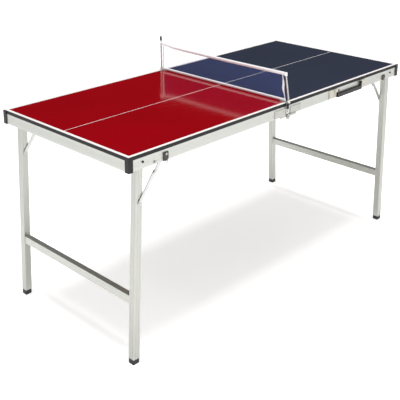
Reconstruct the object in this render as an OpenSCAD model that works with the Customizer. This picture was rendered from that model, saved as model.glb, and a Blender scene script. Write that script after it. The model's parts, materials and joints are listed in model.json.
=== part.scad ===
// Folding table tennis table: two boards in aluminium rails that hinge at the middle,
// a folding leg frame with knee braces under each, a net on two screwed brackets and a carry handle.
// Origin on the floor under the table's centre. X runs along the table, Z is up.
// Each half is modelled at -X; the navy half is the same half turned half a turn about Z.

/* [Table] */
// Overall length of the two boards
table_l = 1524; // [1400:1:1900]
// Overall width of the boards
table_w = 660; // [560:1:800]
// Height of the playing surface above the floor
table_h = 730; // [600:1:735]
// Thickness of each board
board_t = 12; // [11.5:0.5:20]
// Thickness of the black band on the board edges
edge_band = 1.5; // [1:0.1:3]
// Gap between the two boards at the joint
joint_gap = 0.8; // [0.4:0.1:3]

/* [Rails] */
// Height of the aluminium rails under the boards
rail_h = 37; // [36:0.5:45]
// Width of the rail flange that carries the board
rail_flange = 10; // [9:0.5:11]
// Thickness of the rail metal
rail_wall = 1.8; // [1.2:0.1:2]
// How far the rails stand back from the board edge
rail_setback = 1; // [0.5:0.1:1.5]
// Distance that the joint rail stops short of each side, which leaves room for a folded leg
joint_rail_stop = 52; // [48:1:80]
// Length of each corner guard's arms
guard_l = 18; // [14:1:30]
// Thickness of the corner guards
guard_t = 2; // [1.5:0.1:3]
// How far the corner guards stop below the playing surface
guard_drop = 1; // [0.5:0.1:3]

/* [Legs] */
// Side of the square leg tube
leg_side = 25.4; // [22:0.1:26]
// Wall of the leg tube
leg_wall = 1.5; // [1:0.1:2.5]
// Distance from the board's side edge to the leg
leg_inset = 12.8; // [12.8:0.1:16]
// Distance from the board's end edge to the leg pivot
pivot_inset = 56; // [54:0.5:90]
// Outward lean of the legs in degrees
leg_lean = 2.9; // [0:0.1:4]
// Height of the rubber part of the foot
foot_h = 18; // [12:1:30]
// Height of the crossbar's centre above the floor
crossbar_z = 228; // [120:1:400]
// Height of the crossbar tube
crossbar_h = 28; // [20:1:36]
// Thickness of the crossbar tube
crossbar_t = 22; // [14:1:24]
// Diameter of the leg pivot bolt
pivot_d = 6; // [5:0.5:7]

/* [Knee braces] */
// Distance from the leg pivot down the leg to the brace rivet
brace_on_leg = 136; // [125:1:150]
// Distance from the leg pivot along the rail to the brace pin
brace_on_rail = 94; // [85:1:105]
// Width of the brace bars
bar_w = 13; // [11:0.5:14]
// Thickness of the brace bars
bar_t = 2.6; // [2:0.1:2.8]
// Diameter of the brace pins and rivets
brace_pin_d = 5; // [4:0.1:5.6]

/* [Net] */
// Height of the net above the boards
net_h = 111; // [90:1:152.5]
// Thickness of the net and its tapes
net_t = 1.6; // [1:0.1:2]
// Diameter of the net posts
post_d = 7; // [5:0.5:8]
// Inward lean of the near post in degrees
near_post_lean = 10; // [0:0.5:12]
// Distance from the board's side edge out to the near post's foot
near_post_out = 5.5; // [4:0.5:6]
// Distance from the board's side edge in to the far post's foot
far_post_in = 4; // [2:0.5:8]
// Height of the black cap on the far post
cap_h = 18; // [10:1:30]
// Distance from the joint to the middle of the net brackets
bracket_x = 6.4; // [6.4:0.2:10]
// Width of the net brackets
bracket_w = 12; // [10:0.5:12]
// How far the thumb screws draw out
screw_travel = 10; // [4:0.5:12]

/* [Handle] */
// Distance from the joint to the handle's middle
handle_x = 391; // [300:1:500]
// Overall width of the handle
handle_w = 168; // [130:1:200]
// Width of the handle's arms
handle_arm = 8; // [7:0.5:12]
// Height of the grip
grip_h = 15; // [12:0.5:16]

/* [Fits] */
// Radial play of a pin that turns in its hole
run_play = 0.06; // [0.03:0.01:0.1]
// Gap between parts that slide past each other
slide_gap = 0.8; // [0.5:0.1:0.9]
// Small gap between assembled pieces that don't touch
fit_gap = 0.3; // [0.2:0.05:0.5]
// Gap between a brace bar and the rivet head beside it
seat_gap = 0.06; // [0.04:0.01:0.15]

/* [Hidden] */

$fn = 48;
red_paint = [0.62, 0.04, 0.08];
navy_paint = [0.17, 0.19, 0.27];
black_plastic = [0.09, 0.09, 0.1];
silver = [0.82, 0.83, 0.81];
steel = [0.62, 0.63, 0.64];

// Heights
board_z = table_h - board_t;
rail_z = board_z - rail_h;
bead_h = 2;
bead_out = 1.5;
rail_groove = 0.4;
rail_groove_w = 1;

// Plan
half_l = table_l / 2;
half_w = table_w / 2;
rail_x = half_l - rail_setback;
rail_y = half_w - rail_setback;
web_y = rail_y - rail_wall;
leg_y = half_w - leg_inset;
leg_mid_y = leg_y - leg_side / 2;
leg_in_y = leg_y - leg_side;

// Leg pivot: the rounded top of the tube turns just clear of the board
leg_top_r = leg_side / 2 + leg_wall;
pivot_x = -(half_l - pivot_inset);
pivot_z = board_z - leg_top_r - slide_gap;
leg_len = (pivot_z - foot_h) / cos(leg_lean);
foot_side = leg_side - 1;
foot_plug_h = 24;
crossbar_down = (pivot_z - crossbar_z) / cos(leg_lean);
groove_w = 1;
groove_d = 0.5;
groove_at = leg_side / 5;
nut_t = 4;
bolt_head_t = 2.4;

// Knee brace: with the leg folded up, both bars lie along the rail
brace_a = [pivot_x - brace_on_leg * sin(leg_lean), pivot_z - brace_on_leg * cos(leg_lean)];
brace_b = [pivot_x + brace_on_rail, pivot_z];
brace_open = norm(brace_b - brace_a);
brace_shut = brace_on_leg - brace_on_rail;
lower_bar_l = (brace_open + brace_shut) / 2;
upper_bar_l = (brace_open - brace_shut) / 2;
brace_k = brace_a + (brace_b - brace_a) * lower_bar_l / brace_open;
brace_tilt = atan2(brace_b[1] - brace_a[1], brace_b[0] - brace_a[0]);
bar_step = bar_t + slide_gap;
knee_head_t = 1.1;
rivet_head_t = 1.6;
stop_at = [pivot_x + 50, rail_z + 7];

// Screws that hold the boards to the rails
screw_r = 1.75;
screw_bite = 10;
screw_head_r = 2.8;
screw_head_t = 1.5;

// Middle hinge: the plates turn on a pin just under the rails
hinge_d = 6;
hinge_z = rail_z - 5;
ear_r = 10;
plate_t = 2;
plate_l = 62;
plate_from = 14;
plate_h = 27;
plate_z = rail_z + 3;
lap_l = 32;
hinge_out = rail_y + 2 * plate_t + fit_gap;

// Net set
bracket_reach = 30;
bracket_t = 2.5;
bracket_in = half_w + fit_gap;
bracket_out = bracket_in + bracket_t;
bracket_low = hinge_z + ear_r + 3;
bracket_slot = [4, 10];
screw_z = rail_z + 30;
screw_x = bracket_x + 2;
thumb_d = 5;
thumb_in = web_y - 6;
lever_w = 8;
lever_low = screw_z - 4;
lever_high = table_h - 1.5;
lever_t = 4;
near_post_y = half_w + near_post_out;
far_post_y = half_w - far_post_in;
post_foot_h = 8;
post_foot_r = post_d / 2 + 1.5;
tape_h = 13;
near_post_len = net_h - bracket_t - post_foot_h + 2;
far_post_len = net_h - bracket_t - post_foot_h + 14;
net_side_gap = 14;

// Handle
handle_z = board_z - 8;
handle_y = rail_y + 5.5;
handle_t = 7;
handle_pin_d = 4.4;
handle_drop = handle_z - rail_z - 1;
mount_l = 18;
mount_plates = [30, 50];
mount_slot_w = 1.6;

// Tab and ring on the outer brace bracket
tab_w = 20;
tab_t = 4;
ring_r = 9;
ring_wire = 2.4;
ring_y = rail_y + tab_t / 2;
ring_z = rail_z + 1;

module navy_half() { rotate([0, 0, 180]) children(); }

// Takes a shape drawn in the leg's own frame, pivot at the origin and leg down -Z, to its place
module on_leg() { translate([pivot_x, 0, pivot_z]) rotate([0, leg_lean, 0]) children(); }

// A cylinder along Y from y0 to y1 at a point of the XZ plane
module rod_y(at, y0, y1, r) {
    translate([at[0], max(y0, y1), at[1]]) rotate([90, 0, 0]) cylinder(h = abs(y1 - y0), r = r);
}

module box(from, to) { translate(from) cube(to - from); }

// ---------- boards ----------

module screw_places() {
    for (x = [-half_l + 150, -half_l / 2, -120], s = [-1, 1])
        translate([x, s * (rail_y - rail_flange / 2), 0]) children();
    for (y = [-1, 1] * half_w / 2) translate([-(rail_x - rail_flange / 2), y, 0]) children();
    for (y = [-1, 1] * half_w / 2) translate([-(joint_gap / 2 + rail_flange / 2), y, 0]) children();
}

module board() {
    difference() {
        box([-half_l + edge_band, -half_w + edge_band, board_z],
            [-joint_gap / 2, half_w - edge_band, table_h]);
        screw_places() translate([0, 0, board_z - 1]) cylinder(h = screw_bite + 1, r = screw_r);
    }
}

module edge_trim() {
    color(black_plastic) difference() {
        box([-half_l, -half_w, board_z], [-joint_gap / 2, half_w, table_h]);
        box([-half_l + edge_band, -half_w + edge_band, board_z - 1],
            [1, half_w - edge_band, table_h + 1]);
    }
}

module frame_screws() {
    color(steel) screw_places() {
        translate([0, 0, board_z - rail_wall]) cylinder(h = rail_wall + screw_bite, r = screw_r);
        translate([0, 0, board_z - rail_wall - screw_head_t])
            cylinder(h = screw_head_t, r = screw_head_r);
    }
}

// ---------- rails ----------

// Section of a rail: web on the outside, flange under the board, bead along the bottom
module rail_section() {
    difference() {
        square([rail_wall, rail_h]);
        for (z = [0.3, 0.5, 0.7] * rail_h)
            translate([0, z]) square([2 * rail_groove, rail_groove_w], center = true);
    }
    translate([0, rail_h - rail_wall]) square([rail_flange, rail_wall]);
    square([rail_wall + bead_out, bead_h]);
}

// The red rails also take the thumb screws of the net brackets
module side_rail(s, takes_net = false) {
    color(silver) difference() {
        scale([1, -s, 1]) translate([-rail_x, -rail_y, rail_z]) rotate([90, 0, 90])
            linear_extrude(rail_x - joint_gap / 2) rail_section();
        screw_places() translate([0, 0, board_z - 2 * rail_wall])
            cylinder(h = 3 * rail_wall, r = screw_r);
        rod_y([pivot_x, pivot_z], s * (web_y - 1), s * (rail_y + 1), pivot_d / 2);
        rod_y(stop_at, s * (web_y - 1), s * (rail_y + 1), brace_pin_d / 2);
        if (s < 0) rod_y(brace_b, s * (web_y - 1), s * (rail_y + 1), brace_pin_d / 2);
        if (takes_net) thumb_hole(s, thumb_d / 2 + run_play);
    }
}

module end_rail() {
    run = 2 * (rail_y - rail_flange - fit_gap);
    color(silver) difference() {
        translate([-rail_x, run / 2, rail_z]) rotate([90, 0, 0]) linear_extrude(run) rail_section();
        screw_places() translate([0, 0, board_z - 2 * rail_wall])
            cylinder(h = 3 * rail_wall, r = screw_r);
    }
}

module joint_rail() {
    run = 2 * (half_w - joint_rail_stop);
    color(silver) difference() {
        translate([-joint_gap / 2, -run / 2, rail_z]) rotate([90, 0, 180])
            linear_extrude(run) rail_section();
        screw_places() translate([0, 0, board_z - 2 * rail_wall])
            cylinder(h = 3 * rail_wall, r = screw_r);
    }
}

// One guard wraps the corner of the board and the rails, with a thin lip under the rails
module corner_guard(s) {
    out_x = half_l + guard_t;
    out_y = half_w + guard_t;
    in_x = out_x - guard_l;
    in_y = out_y - guard_l;
    lip = 4;
    low = rail_z - guard_t / 2;
    high = table_h - guard_drop;
    scale([1, s, 1]) difference() {
        box([-out_x, in_y, low], [-in_x, out_y, high]);
        box([-half_l, in_y - 1, rail_z], [-in_x + 1, half_w, table_h + 1]);
        box([-half_l + lip, in_y - 1, low - 1], [-in_x + 1, half_w - lip, high + 1]);
    }
}

module corner_guards() {
    color(black_plastic) for (s = [-1, 1]) corner_guard(s);
}

// ---------- leg frame ----------

module leg_profile() {
    difference() {
        square(leg_side, center = true);
        square(leg_side - 2 * leg_wall, center = true);
        for (a = [0 : 90 : 270], g = [-1, 1]) rotate(a)
            translate([g * groove_at, leg_side / 2]) square([groove_w, 2 * groove_d], center = true);
    }
}

module leg(s) {
    color(silver) on_leg() difference() {
        intersection() {
            translate([0, s * leg_mid_y, -leg_len]) linear_extrude(leg_len + leg_top_r) leg_profile();
            union() {
                rod_y([0, 0], s * (leg_in_y - 1), s * (leg_y + 1), leg_top_r);
                box([-leg_side, s * leg_mid_y - leg_side, -leg_len - 1],
                    [leg_side, s * leg_mid_y + leg_side, 0]);
            }
        }
        rod_y([0, 0], s * (leg_in_y - 1), s * (leg_y + 1), pivot_d / 2 + run_play);
        rod_y([0, -brace_on_leg], s * leg_mid_y - leg_side, s * leg_mid_y, brace_pin_d / 2);
    }
}

module leg_crossbar() {
    run = 2 * leg_in_y;
    color(silver) on_leg() translate([0, run / 2, -crossbar_down]) rotate([90, 0, 0]) linear_extrude(run)
        difference() {
            square([crossbar_t, crossbar_h], center = true);
            square([crossbar_t - 2 * leg_wall, crossbar_h - 2 * leg_wall], center = true);
        }
}

// Rubber foot: a plug inside the tube and a block that is cut level with the floor
module foot(s) {
    plug = leg_side - 2 * leg_wall - fit_gap;
    color(black_plastic) difference() {
        on_leg() translate([0, s * leg_mid_y, -leg_len]) {
            translate([0, 0, -foot_h]) linear_extrude(2 * foot_h, center = true)
                square(foot_side, center = true);
            translate([-plug / 2, -plug / 2, -1]) cube([plug, plug, foot_plug_h + 1]);
        }
        translate([0, 0, -table_h]) cube([2 * table_l, 2 * table_w, 2 * table_h], center = true);
    }
}

module leg_pivot_bushes() {
    color(black_plastic) for (s = [-1, 1]) difference() {
        rod_y([pivot_x, pivot_z], s * (leg_y + fit_gap), s * web_y, pivot_d / 2 + 4);
        rod_y([pivot_x, pivot_z], s * leg_y, s * (web_y + 1), pivot_d / 2);
    }
}

module leg_pivot_bolts() {
    color(steel) for (s = [-1, 1]) {
        rod_y([pivot_x, pivot_z], s * (leg_in_y - nut_t - fit_gap), s * rail_y, pivot_d / 2);
        rod_y([pivot_x, pivot_z], s * rail_y, s * (rail_y + bolt_head_t), pivot_d * 0.65);
        translate([pivot_x, s * (leg_in_y - fit_gap - nut_t / 2), pivot_z]) rotate([90, 0, 0])
            difference() {
                cylinder(h = nut_t, r = pivot_d * 0.9, center = true, $fn = 6);
                cylinder(h = nut_t + 1, r = pivot_d / 2, center = true);
            }
    }
}

// ---------- knee braces ----------

// Distance of the inner face of each bar from the leg, and its side of the leg.
// Both braces of a half stand on the -Y side of their legs.
function brace_face(s) = s < 0 ? -leg_y : leg_in_y;
function lower_y(s) = brace_face(s) - slide_gap;
function upper_y(s) = lower_y(s) - bar_step;

// A bar with round ends and a pin hole at one end, along the XZ line between two points
module bar(from, to, y, hole_at, hole_r) {
    run = norm(to - from);
    tilt = atan2(to[1] - from[1], to[0] - from[0]);
    difference() {
        translate([from[0], y, from[1]]) rotate([0, -tilt, 0]) rotate([90, 0, 0]) {
            cylinder(h = bar_t, r = bar_w / 2);
            translate([run, 0, 0]) cylinder(h = bar_t, r = bar_w / 2);
            translate([0, -bar_w / 2, 0]) cube([run, bar_w, bar_t]);
        }
        rod_y(hole_at, y + 1, y - bar_t - 1, hole_r);
    }
}

// The lower bar turns on the leg rivet and carries half of the knee rivet
module brace_lower(s) {
    y = lower_y(s);
    color(steel) bar(brace_a, brace_k, y, brace_a, brace_pin_d / 2 + run_play);
}

// The upper bar turns on the rail pin and shows the knee rivet's head
module brace_upper(s) {
    y = upper_y(s);
    color(steel) {
        bar(brace_b, brace_k, y, brace_b, brace_pin_d / 2 + run_play);
        rod_y(brace_k, y - bar_t / 2, y - bar_t - knee_head_t, bar_w * 0.36);
    }
}

// Rivet from the leg through the lower bar, with a flat head in the gap beside the upper bar
module leg_brace_rivets() {
    color(steel) for (s = [-1, 1]) {
        head = lower_y(s) - bar_t - slide_gap / 2;
        rod_y(brace_a, brace_face(s) + leg_wall + 1, head, brace_pin_d / 2);
        rod_y(brace_a, lower_y(s) - bar_t - seat_gap, head, brace_pin_d * 0.8);
    }
}

// Outer bracket: a tab on the rail's face with an eye for the ring
module outer_bracket() {
    top = pivot_z + 6;
    difference() {
        union() {
            box([brace_b[0] - tab_w / 2, -rail_y - tab_t, rail_z + 4],
                [brace_b[0] + tab_w / 2, -rail_y, top]);
            box([brace_b[0] - tab_w / 5, -rail_y - tab_t, ring_z - tab_t / 2],
                [brace_b[0] + tab_w / 5, -rail_y, rail_z + 5]);
        }
        rod_y(brace_b, -rail_y + 1, -rail_y - tab_t - 1, brace_pin_d / 2);
        translate([brace_b[0] - tab_w, -ring_y, ring_z]) rotate([0, 90, 0])
            cylinder(h = 2 * tab_w, r = ring_wire / 2 + fit_gap);
    }
}

// Inner bracket: an angle under the board beside the upper bar
module inner_bracket() {
    face = upper_y(1) - bar_t - slide_gap;
    wide = 2 * tab_w;
    foot_w = 22;
    difference() {
        union() {
            box([brace_b[0] - wide / 2, face - plate_t, pivot_z - bar_w / 2],
                [brace_b[0] + wide / 2, face, board_z]);
            box([brace_b[0] - wide / 2, face - foot_w, board_z - plate_t],
                [brace_b[0] + wide / 2, face, board_z]);
        }
        rod_y(brace_b, face + 1, face - plate_t - 1, brace_pin_d / 2);
    }
}

module brace_brackets() {
    color(black_plastic) outer_bracket();
    color(steel) inner_bracket();
}

// Fixed rivets of one half: the two brace pins and the two stop rivets
module rail_rivets() {
    face = upper_y(1) - bar_t - slide_gap;
    color(steel) {
        for (s = [-1, 1])
            rod_y(brace_b, upper_y(s) + slide_gap / 2, upper_y(s) + seat_gap, brace_pin_d * 0.8);
        rod_y(brace_b, upper_y(-1) - bar_t - fit_gap, -web_y, brace_pin_d * 0.8);
        rod_y(brace_b, upper_y(-1) + slide_gap / 2, -rail_y - tab_t, brace_pin_d / 2);
        rod_y(brace_b, -rail_y - tab_t, -rail_y - tab_t - rivet_head_t, brace_pin_d * 0.8);
        rod_y(brace_b, upper_y(1) + slide_gap / 2, face - plate_t, brace_pin_d / 2);
        rod_y(brace_b, face - plate_t, face - plate_t - rivet_head_t, brace_pin_d * 0.8);
        for (s = [-1, 1]) {
            rod_y(stop_at, s * (web_y - 0.8), s * rail_y, brace_pin_d / 2);
            if (s < 0) rod_y(stop_at, s * rail_y, s * (rail_y + 2 * rivet_head_t), brace_pin_d);
            if (s > 0) rod_y(stop_at, s * rail_y, s * (rail_y + tab_t), brace_pin_d / 2);
        }
    }
}

// Black block on the rail, held by the stop rivet
module rail_block() {
    color(black_plastic) difference() {
        box([stop_at[0] - 5, rail_y, stop_at[1] - 5],
            [stop_at[0] + 14, rail_y + tab_t, stop_at[1] + 15]);
        rod_y(stop_at, rail_y - 1, rail_y + tab_t + 1, brace_pin_d / 2);
    }
}

// Ring: a straight bar through the bracket's eye and a half round loop
module bracket_ring() {
    color(steel) translate([brace_b[0], -ring_y, ring_z]) {
        rotate([0, 90, 0]) cylinder(h = 2 * ring_r, r = ring_wire / 2, center = true);
        rotate([90, 180, 0]) rotate_extrude(angle = 180) translate([ring_r, 0]) circle(ring_wire / 2);
        for (x = [-1, 1]) translate([x * ring_r, 0, 0]) sphere(ring_wire / 2);
    }
}

// ---------- middle hinge ----------

// Plate on the red rail, with its ear next to the rail
module red_hinge_plate(s) {
    scale([1, s, 1]) difference() {
        union() {
            box([-plate_from - plate_l, rail_y, plate_z],
                [-plate_from, rail_y + plate_t, plate_z + plate_h]);
            box([-plate_from - lap_l, rail_y, hinge_z], [-plate_from, rail_y + plate_t, plate_z + 1]);
            box([-plate_from - 1, rail_y + fit_gap, hinge_z],
                [0, rail_y + plate_t, hinge_z + ear_r * 0.8]);
            rod_y([0, hinge_z], rail_y + fit_gap, rail_y + plate_t, ear_r);
        }
        rod_y([0, hinge_z], rail_y - 1, rail_y + plate_t + 1, hinge_d / 2);
    }
}

// Plate on the navy rail, stepped out so that its ear laps the red one
module navy_hinge_plate(s) {
    lap_in = rail_y + plate_t + fit_gap;
    scale([1, s, 1]) difference() {
        union() {
            box([plate_from, rail_y, plate_z],
                [plate_from + plate_l, rail_y + plate_t, plate_z + plate_h]);
            box([plate_from, rail_y, hinge_z], [plate_from + lap_l, hinge_out, plate_z + 1]);
            box([0, lap_in, hinge_z], [plate_from + 1, hinge_out, hinge_z + ear_r * 0.8]);
            rod_y([0, hinge_z], lap_in, hinge_out, ear_r);
        }
        rod_y([0, hinge_z], rail_y - 1, hinge_out + 1, hinge_d / 2 + run_play);
    }
}

module hinge_plates_red() {
    color(silver) for (s = [-1, 1]) red_hinge_plate(s);
}

module hinge_plates_navy() {
    color(silver) for (s = [-1, 1]) navy_hinge_plate(s);
}

module hinge_pins() {
    color(steel) for (s = [-1, 1]) {
        rod_y([0, hinge_z], s * (rail_y + fit_gap), s * hinge_out, hinge_d / 2);
        rod_y([0, hinge_z], s * hinge_out, s * (hinge_out + rivet_head_t), hinge_d * 0.75);
        rod_y([0, hinge_z], s * (rail_y - rivet_head_t), s * (rail_y + fit_gap), hinge_d * 0.75);
    }
}

// ---------- net ----------

// Hole for a thumb screw, across a rail or a bracket
module thumb_hole(s, r) {
    rod_y([-screw_x, screw_z], s * (web_y - 1), s * (bracket_out + 1), r);
}

// Bracket: a plate on the board that carries the post's socket, and a slotted strap down the rail
module net_bracket(s, post_y) {
    left = -bracket_x - bracket_w / 2;
    right = -bracket_x + bracket_w / 2;
    out = max(bracket_out, post_y + post_foot_r);
    color(silver) difference() {
        scale([1, s, 1]) difference() {
            union() {
                box([left, half_w - bracket_reach, table_h], [right, out, table_h + bracket_t]);
                box([left, bracket_in, bracket_low], [right, bracket_out, table_h + 1]);
                translate([-bracket_x, post_y, table_h + bracket_t])
                    cylinder(h = post_foot_h, r = post_foot_r);
            }
            translate([-bracket_x, post_y, table_h + bracket_t + 1])
                cylinder(h = post_foot_h, r = post_d / 2);
            box([-bracket_x - bracket_slot[0] / 2, bracket_in - 1, bracket_low + 5],
                [-bracket_x + bracket_slot[0] / 2, bracket_out + 1, bracket_low + 5 + bracket_slot[1]]);
        }
        thumb_hole(s, thumb_d / 2 + fit_gap);
    }
}

// Thumb screw: a shaft through the strap into the rail's web, with an upright lever outside
module bracket_screw(s) {
    at = [-screw_x, screw_z];
    in = s * (bracket_out + 0.7);
    out = s * (bracket_out + 0.7 + lever_t);
    color(black_plastic) {
        rod_y(at, s * thumb_in, in, thumb_d / 2);
        rod_y(at, s * (bracket_out + fit_gap), in, lever_w * 0.4);
        for (z = [lever_low + lever_w / 2, lever_high - lever_w / 2])
            rod_y([-screw_x, z], in, out, lever_w / 2);
        translate([-screw_x, (in + out) / 2, (lever_low + lever_high) / 2])
            cube([lever_w, lever_t, lever_high - lever_low - lever_w], center = true);
    }
}

module net_post(s, post_y, lean, run) {
    color(silver) translate([-bracket_x, s * post_y, table_h + bracket_t + 1]) {
        cylinder(h = post_foot_h, r = post_d / 2);
        translate([0, 0, post_foot_h - 1]) rotate([s * lean, 0, 0]) {
            sphere(post_d / 2);
            cylinder(h = run, r = post_d / 2);
        }
    }
}

// Cap on the far post: a slim tapered tip with a rounded end
module far_post_cap() {
    r = post_d / 2 + 1;
    color(black_plastic) translate([-bracket_x, far_post_y, table_h + net_h + 14]) {
        cylinder(h = cap_h - r, r1 = r, r2 = r - 0.6);
        translate([0, 0, cap_h - r]) sphere(r - 0.6);
    }
}

// Net: a thin panel whose top tape reaches out to the posts
module net() {
    low = table_h + bracket_t + fit_gap;
    high = table_h + net_h;
    clear = post_d / 2 + fit_gap;
    pivot = table_h + bracket_t + post_foot_h;
    near_top = clear / cos(near_post_lean) - near_post_y + tan(near_post_lean) * (high - pivot);
    near_tape = near_top - tan(near_post_lean) * tape_h;
    color("white") translate([-bracket_x - net_t / 2, 0, 0]) rotate([90, 0, 90]) linear_extrude(net_t)
        polygon([
            [half_w - net_side_gap, low], [half_w - net_side_gap, high - tape_h],
            [far_post_y - clear, high - tape_h], [far_post_y - clear, high],
            [near_top, high], [near_top, high - tape_h],
            [near_tape + net_side_gap / 4, high - tape_h], [net_side_gap / 2 - half_w, low]
        ]);
}

// ---------- handle ----------

module handle() {
    left = handle_x - handle_w / 2;
    right = handle_x + handle_w / 2;
    low = handle_z - handle_drop;
    color(black_plastic) difference() {
        union() {
            for (x = [left, right - handle_arm]) {
                translate([x, -handle_y, handle_z]) rotate([0, 90, 0]) cylinder(h = handle_arm, r = 4);
                box([x, -handle_y - handle_t / 2, low], [x + handle_arm, -handle_y + handle_t / 2, handle_z]);
            }
            box([left, -handle_y - handle_t / 2, low], [right, -handle_y + handle_t / 2, low + grip_h]);
        }
        translate([left - 1, -handle_y, handle_z]) rotate([0, 90, 0])
            cylinder(h = handle_arm, r = handle_pin_d / 2 + run_play);
        translate([right + 1 - handle_arm, -handle_y, handle_z]) rotate([0, 90, 0])
            cylinder(h = handle_arm, r = handle_pin_d / 2 + run_play);
    }
}

// One mount: a plate on the rail, a boss beside the handle's arm and the pin that it turns on
module handle_mount(side) {
    edge = handle_w / 2 + fit_gap;
    plate_l = side > 0 ? mount_plates[0] : mount_plates[1];
    translate([handle_x, 0, 0]) scale([side, 1, 1]) {
        difference() {
            box([edge, -rail_y - plate_t, rail_z + 2], [edge + plate_l, -rail_y, board_z - 1]);
            box([edge + plate_l - 4, -rail_y - plate_t - 1, rail_z + 5],
                [edge + plate_l - 4 + mount_slot_w, -rail_y + 1, board_z - 7]);
        }
        box([edge, -handle_y - handle_t / 2, handle_z - 5], [edge + mount_l, -rail_y, board_z - 2]);
        translate([edge - handle_arm + 2, -handle_y, handle_z]) rotate([0, 90, 0])
            cylinder(h = handle_arm, r = handle_pin_d / 2);
    }
}

module handle_mounts() {
    color(silver) for (side = [-1, 1]) handle_mount(side);
}

// ---------- nodes ----------

color(red_paint) board();  // red_board
edge_trim();  // red_edge_trim
end_rail();  // red_end_rail
side_rail(-1, true);  // red_near_rail
side_rail(1, true);  // red_far_rail
joint_rail();  // red_joint_rail
corner_guards();  // red_corner_guards
frame_screws();  // red_frame_screws
leg(-1);  // red_near_leg
leg(1);  // red_far_leg
leg_crossbar();  // red_leg_crossbar
foot(-1);  // red_near_foot
foot(1);  // red_far_foot
brace_upper(-1);  // red_near_brace_upper
brace_lower(-1);  // red_near_brace_lower
brace_upper(1);  // red_far_brace_upper
brace_lower(1);  // red_far_brace_lower
brace_brackets();  // red_brace_brackets
rail_rivets();  // red_rail_rivets
leg_brace_rivets();  // red_leg_brace_rivets
leg_pivot_bolts();  // red_leg_pivot_bolts
leg_pivot_bushes();  // red_leg_pivot_bushes
color(navy_paint) navy_half() board();  // navy_board
navy_half() edge_trim();  // navy_edge_trim
navy_half() end_rail();  // navy_end_rail
navy_half() side_rail(1);  // navy_near_rail
navy_half() side_rail(-1);  // navy_far_rail
navy_half() joint_rail();  // navy_joint_rail
navy_half() corner_guards();  // navy_corner_guards
navy_half() frame_screws();  // navy_frame_screws
navy_half() leg(1);  // navy_near_leg
navy_half() leg(-1);  // navy_far_leg
navy_half() leg_crossbar();  // navy_leg_crossbar
navy_half() foot(1);  // navy_near_foot
navy_half() foot(-1);  // navy_far_foot
navy_half() brace_upper(1);  // navy_near_brace_upper
navy_half() brace_lower(1);  // navy_near_brace_lower
navy_half() brace_upper(-1);  // navy_far_brace_upper
navy_half() brace_lower(-1);  // navy_far_brace_lower
navy_half() brace_brackets();  // navy_brace_brackets
navy_half() rail_rivets();  // navy_rail_rivets
navy_half() leg_brace_rivets();  // navy_leg_brace_rivets
navy_half() leg_pivot_bolts();  // navy_leg_pivot_bolts
navy_half() leg_pivot_bushes();  // navy_leg_pivot_bushes
hinge_plates_red();  // red_hinge_plates
hinge_plates_navy();  // navy_hinge_plates
hinge_pins();
net();
net_post(-1, near_post_y, near_post_lean, near_post_len);  // near_net_post
net_post(1, far_post_y, 0, far_post_len);  // far_net_post
far_post_cap();
net_bracket(-1, near_post_y);  // near_net_bracket
net_bracket(1, far_post_y);  // far_net_bracket
bracket_screw(-1);  // near_bracket_screw
bracket_screw(1);  // far_bracket_screw
handle();
handle_mounts();
bracket_ring();
rail_block();  // red_rail_block
navy_half() rail_block();  // navy_rail_block
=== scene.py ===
"""Finished look of a folding table tennis table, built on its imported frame."""

import json
import logging
import math
from collections.abc import Callable, Sequence
from dataclasses import dataclass, field
from enum import Enum

import bmesh
import bpy
from mathutils import Matrix, Vector


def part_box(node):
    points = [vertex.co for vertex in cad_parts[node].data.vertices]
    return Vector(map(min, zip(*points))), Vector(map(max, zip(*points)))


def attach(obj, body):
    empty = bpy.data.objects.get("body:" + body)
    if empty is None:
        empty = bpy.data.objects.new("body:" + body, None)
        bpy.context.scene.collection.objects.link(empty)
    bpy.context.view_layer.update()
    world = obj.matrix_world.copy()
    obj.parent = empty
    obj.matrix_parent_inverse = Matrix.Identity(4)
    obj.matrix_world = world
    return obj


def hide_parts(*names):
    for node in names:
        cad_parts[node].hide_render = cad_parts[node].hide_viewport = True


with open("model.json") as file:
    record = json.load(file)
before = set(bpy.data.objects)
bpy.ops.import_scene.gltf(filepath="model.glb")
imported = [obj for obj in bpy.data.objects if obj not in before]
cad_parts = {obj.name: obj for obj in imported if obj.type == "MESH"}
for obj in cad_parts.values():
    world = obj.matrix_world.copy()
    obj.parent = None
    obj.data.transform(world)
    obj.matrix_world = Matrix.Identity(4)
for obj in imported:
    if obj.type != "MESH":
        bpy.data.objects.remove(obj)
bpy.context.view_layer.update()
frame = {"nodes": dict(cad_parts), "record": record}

LOG = logging.getLogger("table")
MM = 0.001
Colour = tuple[float, float, float]
Spot = tuple[float, float, float]
Socket = bpy.types.NodeSocket


def srgb(red: int, green: int, blue: int) -> Colour:
    """Turns screen values into the linear colour that a shader takes.

    Args:
        red: Red from 0 to 255.
        green: Green from 0 to 255.
        blue: Blue from 0 to 255.

    Returns:
        The linear colour.
    """
    scaled = (value / 255 for value in (red, green, blue))
    linear = (v / 12.92 if v < 0.04045 else ((v + 0.055) / 1.055) ** 2.4 for v in scaled)
    return tuple(linear)


def faded(colour: Colour, share: float) -> Colour:
    """Returns a colour darkened to a share of its light."""
    return tuple(value * share for value in colour)


class Grain(Enum):
    """Direction of a drawn metal's fine lines, as its repeats per metre along each direction."""

    LENGTH = (3.0, 420.0, 420.0)
    WIDTH = (420.0, 3.0, 420.0)
    HEIGHT = (420.0, 420.0, 3.0)


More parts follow.
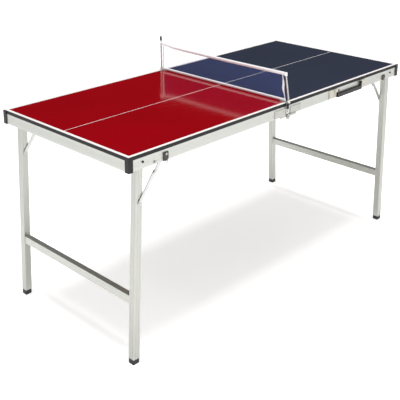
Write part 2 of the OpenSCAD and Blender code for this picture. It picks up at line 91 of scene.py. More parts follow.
class Shader:
    """Writes the node tree of one material."""

    def __init__(self, name: str) -> None:
        """Starts the material with a Principled shader.

        Args:
            name: Name of the material.
        """
        self.material = bpy.data.materials.new(name)
        self.material.use_nodes = True
        self.tree = self.material.node_tree
        self.tree.nodes.clear()
        self.surface = self.add("BsdfPrincipled")
        self.output = self.add("OutputMaterial")
        self.join(self.surface.outputs["BSDF"], self.output.inputs["Surface"])
        coordinates = self.add("TexCoord")
        self.place = coordinates.outputs["Object"]
        self.cloth = coordinates.outputs["UV"]

    def add(self, kind: str) -> bpy.types.Node:
        """Returns a new node of that kind."""
        return self.tree.nodes.new("ShaderNode" + kind)

    def join(self, source: Socket, target: Socket) -> None:
        """Links an output to an input."""
        self.tree.links.new(source, target)

    def set(self, **values: float | Sequence[float]) -> None:
        """Sets constants on the Principled shader's own sockets.

        Args:
            **values: Socket names, with underscores for spaces, and their values.
        """
        for name, value in values.items():
            target = self.surface.inputs[name.replace("_", " ")]
            is_colour = isinstance(value, tuple) and len(value) == 3
            target.default_value = (*value, 1.0) if is_colour else value

    def feed(self, socket: str, source: Socket) -> None:
        """Links an output to one of the Principled shader's sockets."""
        self.join(source, self.surface.inputs[socket])

    def stretched(self, scale: Spot, source: Socket | None = None) -> Socket:
        """Scales the pattern's space.

        Args:
            scale: Repeats per metre along each direction.
            source: Coordinates to scale, or the object's own.

        Returns:
            The scaled coordinates.
        """
        node = self.add("Mapping")
        node.inputs["Scale"].default_value = scale
        self.join(source or self.place, node.inputs["Vector"])
        return node.outputs["Vector"]

    def noise(self, scale: Spot, detail: float = 3.0, rough: float = 0.55) -> Socket:
        """Adds cloudy noise.

        Args:
            scale: Repeats per metre along each direction.
            detail: Number of finer layers.
            rough: Share of each finer layer.

        Returns:
            The noise's value.
        """
        node = self.add("TexNoise")
        node.inputs["Scale"].default_value = 1.0
        node.inputs["Detail"].default_value = detail
        node.inputs["Roughness"].default_value = rough
        self.join(self.stretched(scale), node.inputs["Vector"])
        return node.outputs["Fac"]

    def calc(self, kind: str, *terms: Socket | float) -> Socket:
        """Adds one Math node.

        Args:
            kind: The Math node's operation.
            *terms: Its inputs, each a link or a number.

        Returns:
            The result.
        """
        node = self.add("Math")
        node.operation = kind
        for target, term in zip(node.inputs, terms):
            if isinstance(term, (int, float)):
                target.default_value = term
            else:
                self.join(term, target)
        return node.outputs["Value"]

    def span(self, source: Socket, low: float, high: float, start: float = 0.25, end: float = 0.75) -> Socket:
        """Maps a value between two limits.

        Args:
            source: The value.
            low: Result at the start.
            high: Result at the end.
            start: Value that gives low.
            end: Value that gives high.

        Returns:
            The mapped value.
        """
        node = self.add("MapRange")
        node.inputs["From Min"].default_value = start
        node.inputs["From Max"].default_value = end
        node.inputs["To Min"].default_value = low
        node.inputs["To Max"].default_value = high
        self.join(source, node.inputs["Value"])
        return node.outputs["Result"]

    def blend(self, share: Socket, first: Colour | Socket, second: Colour | Socket) -> Socket:
        """Mixes two colours.

        Args:
            share: 0 gives the first colour, 1 the second.
            first: A colour or a link.
            second: A colour or a link.

        Returns:
            The mixed colour.
        """
        node = self.add("Mix")
        node.data_type = "RGBA"
        self.join(share, node.inputs["Factor"])
        first_input, second_input = (socket for socket in node.inputs if socket.type == "RGBA")
        for target, value in ((first_input, first), (second_input, second)):
            if isinstance(value, tuple):
                target.default_value = (*value, 1.0)
            else:
                self.join(value, target)
        return next(socket for socket in node.outputs if socket.type == "RGBA")

    def relief(self, height: Socket, depth: float, strength: float = 1.0) -> None:
        """Gives the surface fine relief.

        Args:
            height: Height pattern from 0 to 1.
            depth: Depth of the relief in metres.
            strength: Share of the relief that shows.
        """
        node = self.add("Bump")
        node.inputs["Distance"].default_value = depth
        node.inputs["Strength"].default_value = strength
        self.join(height, node.inputs["Height"])
        self.feed("Normal", node.outputs["Normal"])

    def parts(self, source: Socket) -> tuple[Socket, ...]:
        """Splits a vector.

        Args:
            source: The vector.

        Returns:
            Its three numbers.
        """
        node = self.add("SeparateXYZ")
        self.join(source, node.inputs["Vector"])
        return tuple(node.outputs)


@dataclass(frozen=True)
class Finish:
    """A finish that a piece can take."""

    name: str
    colour: Colour

    def make(self) -> bpy.types.Material:
        """Returns the finish's material."""
        raise NotImplementedError


@dataclass(frozen=True)
class PaintedTop(Finish):
    """Lacquered board with a white border and a thin white line down the middle."""

    half_length: float
    half_width: float
    surface: float
    roughness: float
    shine: float = 0.5
    border: float = 13 * MM
    centre_line: float = 2.2 * MM
    paint_depth: float = 0.2 * MM
    relief_depth: float = 0.03 * MM
    line_dullness: float = 0.14
    core_dullness: float = 0.5
    white: Colour = srgb(222, 217, 216)
    worn_white: Colour = srgb(208, 204, 202)
    core: Colour = srgb(112, 92, 72)

    def line_mask(self, shader: Shader, x: Socket, y: Socket) -> Socket:
        """Finds the white lines.

        Args:
            shader: Shader that takes the nodes.
            x: Place along the table's length.
            y: Place along its width.

        Returns:
            1 on a white line and 0 elsewhere.
        """
        side = shader.calc("ABSOLUTE", y)
        lines = shader.calc("GREATER_THAN", shader.calc("ABSOLUTE", x), self.half_length - self.border)
        for mask in (
            shader.calc("GREATER_THAN", side, self.half_width - self.border),
            shader.calc("LESS_THAN", side, self.centre_line / 2),
        ):
            lines = shader.calc("MAXIMUM", lines, mask)
        return lines

    def paint(self, shader: Shader, lines: Socket, below: Socket) -> Socket:
        """Mixes lacquer, white lines and the bare board under them.

        Args:
            shader: Shader that takes the nodes.
            lines: 1 on a white line.
            below: 1 below the painted face.

        Returns:
            The colour.
        """
        clouds = shader.noise((2.6, 3.4, 3.0), 4.0)
        lacquer = shader.blend(shader.span(clouds, 0.0, 1.0), faded(self.colour, 0.86), self.colour)
        rubbed = shader.span(shader.noise((40.0, 40.0, 40.0)), 0.0, 0.5)
        white = shader.blend(rubbed, self.white, self.worn_white)
        fibres = shader.span(shader.noise((700.0, 700.0, 260.0), 4.0, 0.7), 0.0, 1.0)
        core = shader.blend(fibres, faded(self.core, 0.72), self.core)
        return shader.blend(below, shader.blend(lines, lacquer, white), core)

    def make(self) -> bpy.types.Material:
        """Makes the painted board's material.

        Returns:
            The finished material.
        """
        shader = Shader(self.name)
        x, y, z = shader.parts(shader.place)
        lines = self.line_mask(shader, x, y)
        below = shader.calc("LESS_THAN", z, self.surface - self.paint_depth)
        shader.feed("Base Color", self.paint(shader, lines, below))
        smears = shader.noise((22.0, 30.0, 22.0), 5.0, 0.7)
        wear = shader.span(smears, self.roughness * 0.88, self.roughness * 1.2)
        matt = shader.calc("MULTIPLY", below, self.core_dullness)
        chalk = shader.calc("MULTIPLY", lines, self.line_dullness)
        shader.feed("Roughness", shader.calc("ADD", shader.calc("ADD", wear, matt), chalk))
        peel = shader.noise((260.0, 260.0, 260.0), 2.0)
        step = shader.calc("MULTIPLY", lines, 2.0)
        shader.relief(shader.calc("ADD", peel, step), self.relief_depth, 0.5)
        shader.set(IOR=1.5, Specular_IOR_Level=self.shine)
        return shader.material


@dataclass(frozen=True)
class Anodised(Finish):
    """Satin anodised aluminium with the fine lines of its drawing."""

    grain: Grain = Grain.LENGTH
    roughness: float = 0.38
    metal: float = 0.75
    line_depth: float = 0.02 * MM

    def make(self) -> bpy.types.Material:
        """Makes the aluminium's material.

        Returns:
            The finished material.
        """
        shader = Shader(self.name)
        lines = shader.noise(self.grain.value, 4.0, 0.6)
        clouds = shader.noise((6.0, 6.0, 6.0), 3.0)
        drawn = shader.blend(shader.span(lines, 0.0, 1.0, 0.3, 0.7), faded(self.colour, 0.88), self.colour)
        mottled = shader.blend(shader.span(clouds, 0.0, 0.6), drawn, faded(self.colour, 0.94))
        shader.feed("Base Color", mottled)
        shader.feed("Roughness", shader.span(lines, self.roughness * 0.85, self.roughness * 1.2))
        shader.relief(lines, self.line_depth, 0.5)
        shader.set(Metallic=self.metal)
        return shader.material


@dataclass(frozen=True)
class Plated(Finish):
    """Zinc or chrome plated steel with faint clouds and scratches."""

    roughness: float = 0.3
    metal: float = 0.9
    scratch_depth: float = 0.02 * MM

    def make(self) -> bpy.types.Material:
        """Makes the plated steel's material.

        Returns:
            The finished material.
        """
        shader = Shader(self.name)
        clouds = shader.noise((55.0, 55.0, 55.0), 5.0, 0.65)
        plating = shader.blend(shader.span(clouds, 0.0, 1.0), faded(self.colour, 0.8), self.colour)
        shader.feed("Base Color", plating)
        shader.feed("Roughness", shader.span(clouds, self.roughness * 0.75, self.roughness * 1.35))
        scratches = shader.noise((900.0, 240.0, 500.0), 2.0)
        shader.relief(scratches, self.scratch_depth, 0.4)
        shader.set(Metallic=self.metal)
        return shader.material


@dataclass(frozen=True)
class Moulded(Finish):
    """Moulded plastic or rubber with a spark-eroded grain."""

    roughness: float = 0.45
    grain_size: float = 0.7 * MM
    depth: float = 0.06 * MM
    shine: float = 0.5

    def make(self) -> bpy.types.Material:
        """Makes the moulding's material.

        Returns:
            The finished material.
        """
        shader = Shader(self.name)
        per_metre = 1 / self.grain_size
        pebbles = shader.noise((per_metre,) * 3, 2.0, 0.5)
        clouds = shader.noise((25.0, 25.0, 25.0), 4.0, 0.6)
        worn = tuple(min(1.0, value * 1.25 + 0.004) for value in self.colour)
        shader.feed("Base Color", shader.blend(shader.span(clouds, 0.0, 1.0), self.colour, worn))
        shader.feed("Roughness", shader.span(clouds, self.roughness * 0.85, self.roughness * 1.2))
        shader.relief(pebbles, self.depth, 0.7)
        shader.set(Specular_IOR_Level=self.shine)
        return shader.material


@dataclass(frozen=True)
class Webbing(Finish):
    """Woven tape, with its ribs across the width."""

    rib: float = 0.9 * MM
    depth: float = 0.12 * MM

    def make(self) -> bpy.types.Material:
        """Makes the tape's material.

        Returns:
            The finished material.
        """
        shader = Shader(self.name)
        turns = math.tau / self.rib
        u, v, _ = shader.parts(shader.stretched((turns, turns, 1.0), shader.cloth))
        weave = shader.calc("MULTIPLY", shader.calc("SINE", u), shader.calc("SINE", v))
        weave_height_and_dip_shade = shader.span(weave, 0.0, 1.0, -1.0, 1.0)
        # The base colour is darker in the weave's dips: painted shade where the ribs sink, on top of the
        # relief that the same pattern gives.
        shader.feed("Base Color", shader.blend(weave_height_and_dip_shade, faded(self.colour, 0.86), self.colour))
        shader.relief(weave_height_and_dip_shade, self.depth, 0.6)
        shader.set(Roughness=0.85, Sheen_Weight=0.15)
        return shader.material


@dataclass(frozen=True)
class Netting(Finish):
    """Fine knotless net: threads in squares with open holes between them."""

    cell: float = 4.2 * MM
    thread: float = 0.55 * MM
    depth: float = 0.2 * MM

    def make(self) -> bpy.types.Material:
        """Makes the net's material.

        Returns:
            The finished material.
        """
        shader = Shader(self.name)
        u, v, _ = shader.parts(shader.stretched((1 / self.cell, 1 / self.cell, 1.0), shader.cloth))
        half = self.thread / self.cell / 2
        middles = [shader.calc("SUBTRACT", shader.calc("FRACT", way), 0.5) for way in (u, v)]
        gap = shader.calc("MINIMUM", *(shader.calc("ABSOLUTE", middle) for middle in middles))
        shader.feed("Alpha", shader.calc("LESS_THAN", gap, half))
        thread_profile_and_edge_shade = shader.span(gap, 1.0, 0.0, 0.0, half)
        # Each thread's colour darkens towards its edges: painted shade on the sides of the round thread, on
        # top of the relief that the same profile gives.
        shader.feed("Base Color", shader.blend(thread_profile_and_edge_shade, faded(self.colour, 0.7), self.colour))
        shader.relief(thread_profile_and_edge_shade, self.depth, 0.5)
        shader.set(Roughness=0.6)
        return shader.material


def finishes() -> dict[str, Finish]:
    """Lists the table's finishes.

    Returns:
        The finish of every material slot that the frame uses.
    """
    low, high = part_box("red_edge_trim")
    board = (-low.x, high.y, high.z)
    return {
        "red_top": PaintedTop("red lacquer", (0.235, 0.0006, 0.0035), *board, 0.1, 0.36),
        "navy_top": PaintedTop("navy lacquer", (0.026, 0.031, 0.051), *board, 0.2, 0.3),
        "edge_band": Moulded("black edge band", (0.004, 0.004, 0.0045), 0.5, 1.2 * MM, shine=0.25),
        "rail_metal": Anodised("rail aluminium", srgb(190, 191, 186), Grain.LENGTH),
        "leg_metal": Anodised("leg aluminium", srgb(185, 186, 180), Grain.HEIGHT),
        "guard_plastic": Moulded("corner guard plastic", (0.0022,) * 3, 0.3, 3.0 * MM, 0.5 * MM, shine=0.24),
        "foot_rubber": Moulded("foot rubber", (0.016, 0.016, 0.017), 0.6, 1.1 * MM, 0.1 * MM, shine=0.4),
        "brace_steel": Plated("brace steel", srgb(198, 198, 196), 0.3),
        "hardware_steel": Plated("plated hardware", srgb(170, 170, 168), 0.3),
        "bolt_steel": Plated("dark bolts", srgb(60, 58, 56), 0.4),
        "bush_plastic": Moulded("bush nylon", srgb(48, 48, 50), 0.5),
        "bracket_steel": Moulded("dark bracket paint", srgb(50, 46, 38), 0.36, 1.5 * MM, shine=0.35),
        "hinge_metal": Anodised("hinge plate aluminium", srgb(176, 176, 170), Grain.LENGTH, 0.34),
        "strap_metal": Anodised("bracket aluminium", srgb(206, 206, 202), Grain.WIDTH, 0.32),
        "post_metal": Plated("bright posts", srgb(196, 196, 196), 0.22, 0.8),
        "cap_plastic": Moulded("post cap plastic", (0.004, 0.004, 0.004), 0.3, shine=0.3),
        "knob_plastic": Moulded("knob plastic", (0.005, 0.005, 0.005), 0.35, shine=0.3),
        "grip_plastic": Moulded("grip plastic", (0.003, 0.003, 0.003), 0.3, shine=0.27),
        "mount_plastic": Moulded("handle mount plastic", srgb(174, 170, 158), 0.35),
    }


class Workshop:
    """Holds the finishes and puts finished pieces on the frame."""

    def __init__(self, made: dict[str, Finish]) -> None:
        """Makes every finish's material.

        Args:
            made: The finish of each material slot.
        """
        self.materials = {slot: finish.make() for slot, finish in made.items()}
        self.slots = {row["node"]: row["material_slot"] for row in frame["record"]["subparts"]}
        self.bodies = {
            node: body for body, nodes in frame["record"]["behaviour"]["bodies"].items() for node in nodes
        }

    def dress_frame(self) -> None:
        """Gives every CAD node whose slot has a finish the material of that slot."""
        for name, node in frame["nodes"].items():
            slot = self.slots[name]
            if slot in self.materials:
                node.data.materials.clear()
                node.data.materials.append(self.materials[slot])
            LOG.info("dressed %s with %s", name, slot)

    def finish_piece(
        self,
        mesh: bmesh.types.BMesh,
        name: str,
        body: str,
        slot: str,
        material: bpy.types.Material | None = None,
        replaces: Sequence[str] = (),
    ) -> bpy.types.Object:
        """Makes an object of a mesh and puts it on its body.

        Args:
            mesh: The finished mesh in the table's own space.
            name: Name of the piece.
            body: Body that it rides on.
            slot: Material slot of the record that it takes its finish from.
            material: Its material, or none for the slot's own.
            replaces: CAD nodes that it stands for.

        Returns:
            The new object.
        """
        data = bpy.data.meshes.new(name)
        mesh.to_mesh(data)
        mesh.free()
        data.materials.append(material or self.materials[slot])
        piece = bpy.data.objects.new(name, data)
        bpy.context.scene.collection.objects.link(piece)
        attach(piece, body)
        if replaces:
            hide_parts(*replaces)
        LOG.info("built %s on %s", name, body)
        return piece


@dataclass(frozen=True)
class Softened:
    """A part of the frame with the small edge radius that its tool leaves."""

    node: str
    radius: float
    steps: int = 2
    sharp: float = 40.0
    weld: float = 0.001 * MM
    flat: float = 0.4

    def build(self, shop: Workshop) -> None:
        """Copies the node, rounds its sharp edges and puts the copy in its place.

        Args:
            shop: Workshop that holds the finishes.
        """
        mesh = bmesh.new()
        mesh.from_mesh(frame["nodes"][self.node].data)
        bmesh.ops.remove_doubles(mesh, verts=mesh.verts, dist=self.weld)
        bmesh.ops.dissolve_limit(
            mesh,
            angle_limit=math.radians(self.flat),
            use_dissolve_boundaries=False,
            verts=mesh.verts,
            edges=mesh.edges,
        )
        edges = [edge for edge in mesh.edges if self.is_sharp(edge)]
        bmesh.ops.bevel(
            mesh,
            geom=edges,
            offset=self.radius,
            offset_type="OFFSET",
            segments=self.steps,
            profile=0.5,
            affect="EDGES",
            clamp_overlap=True,
            material=-1,
        )
        for face in mesh.faces:
            face.smooth = True
        for edge in mesh.edges:
            edge.smooth = not self.is_sharp(edge)
        body, slot = shop.bodies[self.node], shop.slots[self.node]
        piece = shop.finish_piece(mesh, f"{self.node}_soft", body, slot, replaces=(self.node,))
        normals = piece.modifiers.new("flat faces", "WEIGHTED_NORMAL")
        normals.keep_sharp = True

    def is_sharp(self, edge: bmesh.types.BMEdge) -> bool:
        """Returns whether two faces meet there at a sharp angle."""
        return edge.is_manifold and edge.calc_face_angle(0.0) > math.radians(self.sharp)


PAN_HEAD = ((0.0, 0.0), (1.0, 0.0), (0.97, 0.35), (0.8, 0.75), (0.45, 0.96), (0.0, 1.0))


@dataclass(frozen=True)
class Rivets:
    """Pan heads of the rivets that hold a pair of hinge plates to the rails."""

    half: str
    radius: float = 2.4 * MM
    height: float = 1.1 * MM
    below_top: float = 11 * MM
    shares: tuple[float, float] = (0.35, 0.84)
    steps: int = 20

    def head(self, mesh: bmesh.types.BMesh, spot: Vector, out: float) -> None:
        """Spins one head about its own axis.

        Args:
            mesh: Mesh that takes the head.
            spot: Middle of its seat.
            out: Direction along the table's width, 1 or -1.
        """
        rise = self.height * out
        points = [mesh.verts.new(spot + Vector((r * self.radius, h * rise, 0.0))) for r, h in PAN_HEAD]
        line = [mesh.edges.new(pair) for pair in zip(points, points[1:])]
        bmesh.ops.spin(
            mesh,
            geom=points + line,
            cent=spot,
            axis=(0.0, 1.0, 0.0),
            angle=math.tau,
            steps=self.steps,
            use_merge=True,
            use_normal_flip=False,
        )

    def build(self, shop: Workshop) -> None:
        """Builds the heads of one half of the table.

        Args:
            shop: Workshop that holds the finishes.
        """
        low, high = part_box(f"{self.half}_hinge_plates")
        seat = high.y if self.half == "red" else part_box("red_hinge_plates")[1].y
        outer = low.x if self.half == "red" else high.x
        mesh = bmesh.new()
        for out in (-1.0, 1.0):
            for share in self.shares:
                spot = Vector((outer * share, seat * out, high.z - self.below_top))
                self.head(mesh, spot, out)
        bmesh.ops.remove_doubles(mesh, verts=mesh.verts, dist=0.01 * MM)
        bmesh.ops.recalc_face_normals(mesh, faces=mesh.faces)
        for face in mesh.faces:
            face.smooth = True
        shop.finish_piece(mesh, f"{self.half}_plate_rivets", f"{self.half}_half", "hardware_steel")


def softened_parts() -> list[Softened]:
    """Lists the parts of the frame that get rounded edges.

    Returns:
        The parts, each with its own edge radius.
    """
    radii = {
        "corner_guards": 0.9,
        "near_foot": 0.9,
        "far_foot": 0.9,
        "leg_crossbar": 0.8,
        "near_leg": 0.22,
        "far_leg": 0.22,
        "near_rail": 0.25,
        "far_rail": 0.25,
        "end_rail": 0.25,
        "edge_trim": 0.35,
        "brace_brackets": 0.5,
        "rail_block": 0.6,
        "hinge_plates": 0.3,
        "near_brace_upper": 0.35,
        "near_brace_lower": 0.35,
        "far_brace_upper": 0.35,
        "far_brace_lower": 0.35,
    }
    single = {
        "handle": 1.2,
        "handle_mounts": 0.7,
        "near_net_bracket": 0.4,
        "far_net_bracket": 0.4,
        "near_bracket_screw": 0.7,
        "far_bracket_screw": 0.7,
    }
    named = {f"{half}_{name}": radius for half in ("red", "navy") for name, radius in radii.items()} | single
    return [Softened(name, radius * MM) for name, radius in named.items()]


@dataclass
class Net:
    """The net: open mesh between woven tapes, on two posts."""

    shop: Workshop
    body: str = "red_half"
    top_tape: float = 12 * MM
    bottom_tape: float = 9 * MM
    side_tape: float = 8 * MM
    tape_thickness: float = 1.0 * MM
    near_inset: float = 3 * MM
    near_slant: float = 15 * MM
    far_inset: float = 7 * MM
    top_tape_start: float = -322.5 * MM
    top_tape_reach: float = 6.5 * MM
    sag: float = 1.5 * MM
    climb: float = 9 * MM
    climb_start: float = 0.86
    mesh_wave: float = 0.3 * MM
    tape_wave: float = 0.2 * MM
    slack: float = 1.8 * MM
    twist: float = 0.5
    loop_radius: float = 4.4 * MM
    near_loop: float = -320.2 * MM
    near_lean: float = -10.0
    tape_colour: Colour = srgb(250, 250, 252)
    mesh_colour: Colour = (0.07, 0.13, 0.48)
    low: Vector = field(init=False)
    high: Vector = field(init=False)
    mid_x: float = field(init=False)
    height: float = field(init=False)
    near_foot: float = field(init=False)
    near_top: float = field(init=False)
    far: float = field(init=False)

    def __post_init__(self) -> None:
        """Reads the net's place from the frame."""
        self.low, self.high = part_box("net")
        self.mid_x = (self.low.x + self.high.x) / 2
        self.height = self.high.z - self.low.z
        self.near_foot = self.low.y + self.near_inset
        self.near_top = self.near_foot + self.near_slant
        self.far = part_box("far_net_post")[0].y - self.far_inset

    def strip(
        self,
        name: str,
        faces: tuple[int, int],
        place: Callable[[float, float], Spot],
        material: bpy.types.Material,
        size: tuple[float, float],
        replaces: Sequence[str] = (),
    ) -> bpy.types.Object:
        """Makes a strip of cloth from a flat grid.

        Args:
            name: Name of the piece.
            faces: Number of faces along and across the strip.
            place: Gives the spot for a share along and a share across.
            material: Its material.
            size: Flat length and width in metres, which the UV map uses.
            replaces: CAD nodes that it stands for.

        Returns:
            The strip.
        """
        mesh = bmesh.new()
        bmesh.ops.create_grid(mesh, x_segments=faces[0], y_segments=faces[1], size=0.5)
        uv = mesh.loops.layers.uv.new("cloth")
        for face in mesh.faces:
            face.smooth = True
            for loop in face.loops:
                loop[uv].uv = ((loop.vert.co.x + 0.5) * size[0], (loop.vert.co.y + 0.5) * size[1])
        for vert in mesh.verts:
            vert.co = Vector(place(vert.co.x + 0.5, vert.co.y + 0.5))
        return self.shop.finish_piece(mesh, name, self.body, "net_fabric", material, replaces)

    def thicken(self, piece: bpy.types.Object) -> None:
        """Gives a tape its thickness.

        Args:
            piece: The flat tape.
        """
        solid = piece.modifiers.new("thickness", "SOLIDIFY")
        solid.thickness = self.tape_thickness
        solid.offset = 0.0

    def near_edge(self, up: float) -> float:
        """Returns the mesh's near edge at a share of its height; it slants out to the bracket."""
        return self.near_foot + (self.near_top - self.near_foot) * (1 - (1 - up) ** 1.6)

    def crest(self, along: float) -> float:
        """Follows the top edge, which sags and then climbs to the far post's cap.

        Args:
            along: Share of the net's length.

        Returns:
            The edge's height.
        """
        sag = self.sag * math.sin(min(along / 0.9, 1.0) * math.pi)
        climb = max(0.0, (along - self.climb_start) / (1 - self.climb_start))
        return self.high.z - sag + self.climb * climb ** 1.5

    def cloth(self, along: float, up: float) -> Spot:
        """Places the mesh between the tapes.

        Args:
            along: Share of the net's length.
            up: Share of its height.

        Returns:
            The point.
        """
        wave = self.mesh_wave * math.sin(along * 31.0) * math.sin(up * math.pi)
        start = self.near_edge(up)
        top = self.crest(along * 0.98) - 1 * MM
        return (self.mid_x + wave, start + along * (self.far - start), self.low.z + up * (top - self.low.z))

    def top(self, along: float, across: float) -> Spot:
        """Places the top tape, which runs out to both posts.

        Args:
            along: Share of the tape's length.
            across: Share of its width.

        Returns:
            The point.
        """
        start, end = self.top_tape_start, self.far + self.top_tape_reach
        wave = self.tape_wave * math.sin(along * 9.0)
        height = self.crest(along) - (1 - across) * self.top_tape
        return (self.mid_x + wave, start + along * (end - start), height)

    def bottom(self, along: float, across: float) -> Spot:
        """Places the bottom tape.

        Args:
            along: Share of the tape's length.
            across: Share of its width.

        Returns:
            The point.
        """
        start, end = self.near_foot - 1 * MM, self.far + 1 * MM
        wave = self.tape_wave * math.sin(along * 23.0)
        height = self.low.z + 1 * MM + across * self.bottom_tape
        return (self.mid_x + wave, start + along * (end - start), height)

    def near_side(self, along: float, across: float) -> Spot:
        """Places the slack side tape at the near post.

        Args:
            along: Share of the tape's length.
            across: Share of its width.

        Returns:
            The point.
        """
        wave = self.slack * math.sin(along * 11.0 + 0.6) * math.sin(along * math.pi)
        turn = self.twist * math.sin(along * 9.0)
        reach = (across - 0.5) * self.side_tape
        middle = self.near_edge(along) - wave
        height = self.low.z + 2 * MM + along * (self.height - 6 * MM)
        return (self.mid_x + reach * math.sin(turn), middle + reach * math.cos(turn), height)

    def far_side(self, along: float, across: float) -> Spot:
        """Places the side tape at the far post.

        Args:
            along: Share of the tape's length.
            across: Share of its width.

        Returns:
            The point.
        """
        middle = self.far - 2 * MM + 0.8 * MM * math.sin(along * 6.0)
        height = self.low.z + 2 * MM + along * (self.height - 1 * MM)
        return (self.mid_x, middle + (across - 0.5) * self.side_tape, height)

    def loop(self, name: str, foot: Spot, lean: float, material: bpy.types.Material) -> bpy.types.Object:
        """Makes the loop of tape that goes round a post.

        Args:
            name: Name of the piece.
            foot: Foot of the loop's axis.
            lean: Lean of the post in degrees about the table's length.
            material: Its material.

        Returns:
            The loop.
        """
        tilt = Matrix.Rotation(math.radians(lean), 3, "X")

        def ring(along: float, across: float) -> Spot:
            """Places the loop, drawn out to a point on the net's side.

            Args:
                along: Share of the way round.
                across: Share of the tape's width.

            Returns:
                The point.
            """
            turn = along * math.tau
            pull = 1.0 + 0.5 * max(0.0, math.cos(turn)) ** 3
            side, ahead = self.loop_radius * math.sin(turn), self.loop_radius * math.cos(turn) * pull
            return tuple(Vector(foot) + tilt @ Vector((side, ahead, across * self.top_tape)))

        return self.strip(name, (36, 3), ring, material, (self.loop_radius * math.tau, self.top_tape))

    def tapes(self, width: float) -> list[bpy.types.Object]:
        """Makes the four tapes and the two loops.

        Args:
            width: Flat width of the mesh.

        Returns:
            The tapes and loops, without their thickness.
        """
        tape = Webbing("white tape", self.tape_colour).make()
        plans = (
            ("net_top_tape", 120, self.top, (width + 12 * MM, self.top_tape)),
            ("net_bottom_tape", 120, self.bottom, (width, self.bottom_tape)),
            ("net_near_side_tape", 36, self.near_side, (self.height, self.side_tape)),
            ("net_far_side_tape", 24, self.far_side, (self.height, self.side_tape)),
        )
        made = [self.strip(name, (faces, 2), place, tape, flat) for name, faces, place, flat in plans]
        far_low, far_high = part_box("far_net_post")
        below_top = self.high.z - self.top_tape
        near_foot = (self.mid_x, self.near_loop, below_top - 1 * MM)
        far_foot = (self.mid_x, (far_low.y + far_high.y) / 2, below_top + self.climb)
        made.append(self.loop("net_near_sleeve", near_foot, self.near_lean, tape))
        made.append(self.loop("net_far_sleeve", far_foot, 0.0, tape))
        return made

    def build(self) -> None:
        """Builds the mesh and its tapes."""
        netting = Netting("blue netting", self.mesh_colour).make()
        width = self.far - self.near_foot
        mesh = self.strip("net_mesh", (96, 12), self.cloth, netting, (width, self.height), ("net",))
        tapes = self.tapes(width)
        for piece in tapes:
            self.thicken(piece)


@dataclass(frozen=True)
class SoftBox:
    """A rectangular studio lamp."""

    name: str
    spot: Spot
    aim: Spot
    size: tuple[float, float]
    power: float
    mirrored: bool = True

    def build(self) -> None:
        """Hangs the lamp."""
        data = bpy.data.lights.new(self.name, "AREA")
        data.shape = "RECTANGLE"
        data.size, data.size_y = self.size
        data.energy = self.power
        lamp = bpy.data.objects.new(self.name, data)
        lamp.location = self.spot
        lamp.rotation_mode = "QUATERNION"
        lamp.rotation_quaternion = (Vector(self.aim) - Vector(self.spot)).to_track_quat("-Z", "Y")
        lamp.visible_glossy = self.mirrored
        bpy.context.scene.collection.objects.link(lamp)


LAMPS = (
    SoftBox("overhead", (0.0, 0.0, 8.0), (0.0, 0.0, 0.7), (4.2, 3.6), 570.0, mirrored=False),
    SoftBox("front_right", (-0.2, -4.3, 1.7), (-0.2, 0.0, 0.5), (2.6, 1.8), 66.0),
    SoftBox("front_left", (-4.6, -0.4, 1.6), (0.0, 0.0, 0.5), (2.0, 1.6), 54.0),
)


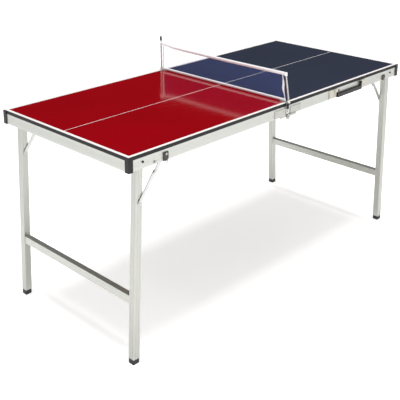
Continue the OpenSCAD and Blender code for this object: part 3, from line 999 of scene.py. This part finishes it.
@dataclass(frozen=True)
class Studio:
    """Floor, light and camera."""

    eye: Spot = (-2.1164, -1.9102, 1.5551)
    azimuth: float = -45.663
    elevation: float = 18.822
    lens: float = 68.65
    sensor: float = 36.0
    shift: tuple[float, float] = (0.0217, -0.2)
    floor_side: float = 60.0
    floor_glow: float = 0.38
    low_sky: float = 0.012
    high_sky: float = 1.0
    sky_band: tuple[float, float] = (0.42, 0.85)
    backdrop: float = 1.1

    def camera(self) -> None:
        """Sets up the camera."""
        data = bpy.data.cameras.new("camera")
        data.lens = self.lens
        data.sensor_width = self.sensor
        data.shift_x, data.shift_y = self.shift
        data.clip_end = 200.0
        camera = bpy.data.objects.new("camera", data)
        turn, rise = math.radians(self.azimuth), math.radians(self.elevation)
        back = Vector((math.sin(turn) * math.cos(rise), -math.cos(turn) * math.cos(rise), math.sin(rise)))
        camera.location = self.eye
        camera.rotation_mode = "QUATERNION"
        camera.rotation_quaternion = (-back).to_track_quat("-Z", "Y")
        bpy.context.scene.collection.objects.link(camera)
        bpy.context.scene.camera = camera

    def floor(self) -> None:
        """Lays the pale floor."""
        shader = Shader("pale floor")
        clouds = shader.noise((0.8, 0.8, 0.8), 2.0)
        shader.feed("Base Color", shader.blend(clouds, (0.86, 0.86, 0.86), (0.9, 0.9, 0.9)))
        shader.set(Roughness=0.9, Specular_IOR_Level=0.0)
        shader.set(Emission_Color=(1.0, 1.0, 1.0), Emission_Strength=self.floor_glow)
        mesh = bmesh.new()
        bmesh.ops.create_grid(mesh, x_segments=1, y_segments=1, size=self.floor_side / 2)
        data = bpy.data.meshes.new("floor")
        mesh.to_mesh(data)
        mesh.free()
        data.materials.append(shader.material)
        floor = bpy.data.objects.new("floor", data)
        bpy.context.scene.collection.objects.link(floor)

    def sky(self) -> None:
        """Lights the room: bright overhead, and dim at the horizon so that the boards keep their colour."""
        world = bpy.data.worlds.new("studio")
        bpy.context.scene.world = world
        world.use_nodes = True
        nodes, links = world.node_tree.nodes, world.node_tree.links
        nodes.clear()
        output = nodes.new("ShaderNodeOutputWorld")
        glow = nodes.new("ShaderNodeBackground")
        seen = nodes.new("ShaderNodeBackground")
        pick = nodes.new("ShaderNodeMixShader")
        path = nodes.new("ShaderNodeLightPath")
        where = nodes.new("ShaderNodeTexCoord")
        split = nodes.new("ShaderNodeSeparateXYZ")
        rise = nodes.new("ShaderNodeMapRange")
        rise.inputs["From Min"].default_value, rise.inputs["From Max"].default_value = self.sky_band
        rise.inputs["To Min"].default_value = self.low_sky
        rise.inputs["To Max"].default_value = self.high_sky
        glow.inputs["Color"].default_value = (1.0, 1.0, 1.0, 1.0)
        seen.inputs["Color"].default_value = (1.0, 1.0, 1.0, 1.0)
        seen.inputs["Strength"].default_value = self.backdrop
        for source, target in (
            (where.outputs["Generated"], split.inputs["Vector"]),
            (split.outputs["Z"], rise.inputs["Value"]),
            (rise.outputs["Result"], glow.inputs["Strength"]),
            (path.outputs["Is Camera Ray"], pick.inputs["Fac"]),
            (glow.outputs["Background"], pick.inputs[1]),
            (seen.outputs["Background"], pick.inputs[2]),
            (pick.outputs["Shader"], output.inputs["Surface"]),
        ):
            links.new(source, target)

    def build(self) -> None:
        """Builds the whole studio."""
        self.camera()
        self.floor()
        self.sky()
        for lamp in LAMPS:
            lamp.build()
        bpy.context.scene.view_settings.view_transform = "Standard"


def main() -> None:
    """Builds the studio, dresses the frame and adds the soft pieces."""
    logging.basicConfig(level=logging.INFO, format="%(name)s: %(message)s")
    Studio().build()
    shop = Workshop(finishes())
    shop.dress_frame()
    for part in softened_parts():
        part.build(shop)
    for half in ("red", "navy"):
        Rivets(half).build(shop)
    Net(shop).build()


if __name__ == "__main__":
    main()
